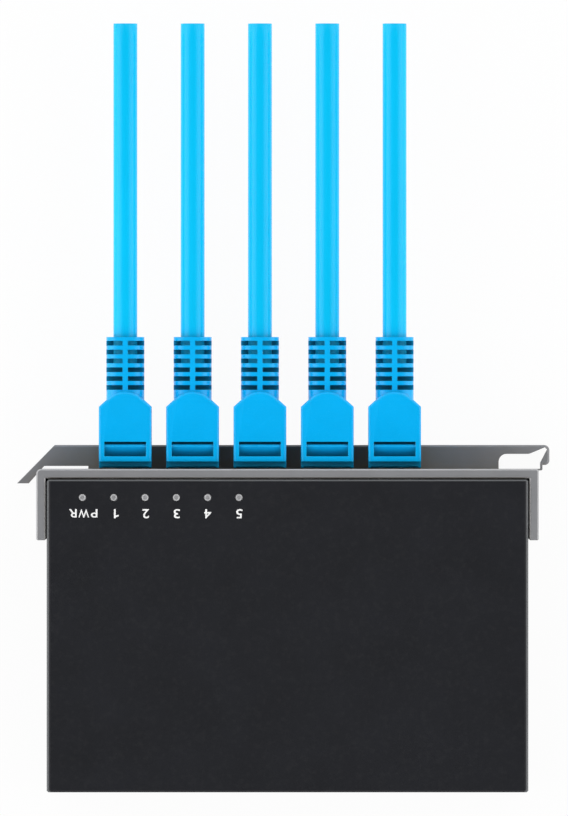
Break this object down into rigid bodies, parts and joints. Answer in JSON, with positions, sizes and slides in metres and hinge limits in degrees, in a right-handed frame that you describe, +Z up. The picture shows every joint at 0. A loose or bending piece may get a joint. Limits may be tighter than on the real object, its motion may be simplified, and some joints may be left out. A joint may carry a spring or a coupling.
{
  "type": "ethernet switch",
  "caption": "Desktop ethernet switch in a folded steel case, with a snap-in mounting bracket round its port end and short straight patch leads plugged into its ports.",
  "frame": {"origin": "on the floor, under the middle of the case and its bracket taken together", "axes": "+X along the row of ports, +Y out of the ports along the leads, +Z up"},
  "size_m": [0.1204, 0.1734, 0.0228],
  "materials": {
    "case_paint": "fine textured powder coat, matt",
    "bracket_plastic": "fine satin",
    "hood_plastic": "satin moulded",
    "lead_jacket": "satin extruded",
    "plug_clear": "clear, polished",
    "contact_gold": "plated",
    "jack_plastic": "moulded",
    "board_laminate": "solder mask",
    "chip_plastic": "moulded",
    "sink_metal": "extruded",
    "can_metal": "drawn",
    "screw_steel": "zinc plated",
    "foot_rubber": "matt",
    "pipe_clear": "diffuse clear",
    "lamp_resin": "clear resin"
  },
  "bodies": {
    "root": {"base_tray": "case_paint", "board_posts": "screw_steel", "capacitor_1": "chip_plastic", "capacitor_2": "chip_plastic", "chip_heat_sink": "sink_metal", "cover_screws": "screw_steel", "crystal": "can_metal", "front_left_foot": "foot_rubber", "front_right_foot": "foot_rubber", "indicator_leds": "lamp_resin", "jack_contacts": "contact_gold", "lead_1": "lead_jacket", "lead_2": "lead_jacket", "lead_3": "lead_jacket", "lead_4": "lead_jacket", "lead_5": "lead_jacket", "light_pipe_1": "pipe_clear", "light_pipe_2": "pipe_clear", "light_pipe_3": "pipe_clear", "light_pipe_4": "pipe_clear", "light_pipe_5": "pipe_clear", "light_pipe_power": "pipe_clear", "main_board": "board_laminate", "memory_chip": "chip_plastic", "mounting_bracket": "bracket_plastic", "plug_1": "plug_clear", "plug_2": "plug_clear", "plug_3": "plug_clear", "plug_4": "plug_clear", "plug_5": "plug_clear", "plug_blades": "contact_gold", "plug_hood_1": "hood_plastic", "plug_hood_2": "hood_plastic", "plug_hood_3": "hood_plastic", "plug_hood_4": "hood_plastic", "plug_hood_5": "hood_plastic", "port_jack_1": "jack_plastic", "port_jack_2": "jack_plastic", "port_jack_3": "jack_plastic", "port_jack_4": "jack_plastic", "port_jack_5": "jack_plastic", "power_inlet": "jack_plastic", "power_pin": "contact_gold", "rear_left_foot": "foot_rubber", "rear_right_foot": "foot_rubber", "regulator_chip": "chip_plastic", "regulator_inductor": "chip_plastic", "switch_chip": "chip_plastic", "top_cover": "case_paint", "transformer_1": "chip_plastic", "transformer_2": "chip_plastic", "transformer_3": "chip_plastic", "transformer_4": "chip_plastic", "transformer_5": "chip_plastic"}
  },
  "joints": []
}
